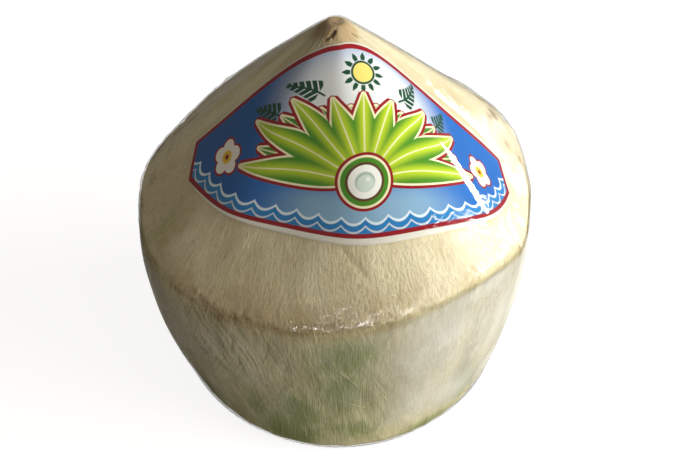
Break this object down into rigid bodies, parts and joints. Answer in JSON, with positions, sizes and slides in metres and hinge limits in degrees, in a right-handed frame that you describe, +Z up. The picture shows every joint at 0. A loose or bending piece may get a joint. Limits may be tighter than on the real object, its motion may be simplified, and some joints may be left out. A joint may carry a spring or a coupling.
{
  "type": "young coconut",
  "caption": "Young coconut with its green skin trimmed off, cut to a cone over a round wall, labelled and wrapped in clear film, standing on a flat cut base.",
  "frame": {"origin": "middle of the flat foot that the coconut stands on, in the plane of that foot", "axes": "+Z up through the tip of the cone, -Y towards the middle of the label, +X to the label's right"},
  "size_m": [0.1431, 0.1411, 0.1478],
  "materials": {
    "husk": "matt cut husk, cream with fine pale fibres, browned along its cut edge and faintly green low down",
    "label": "smooth printed paper, blue with a white margin, a thin red line and plain leaf and fruit shapes",
    "film": "clear shrink film, glossy, finely wrinkled and pleated towards the base"
  },
  "bodies": {
    "root": {"coconut": "husk", "label": "label", "film": "film"}
  },
  "joints": []
}
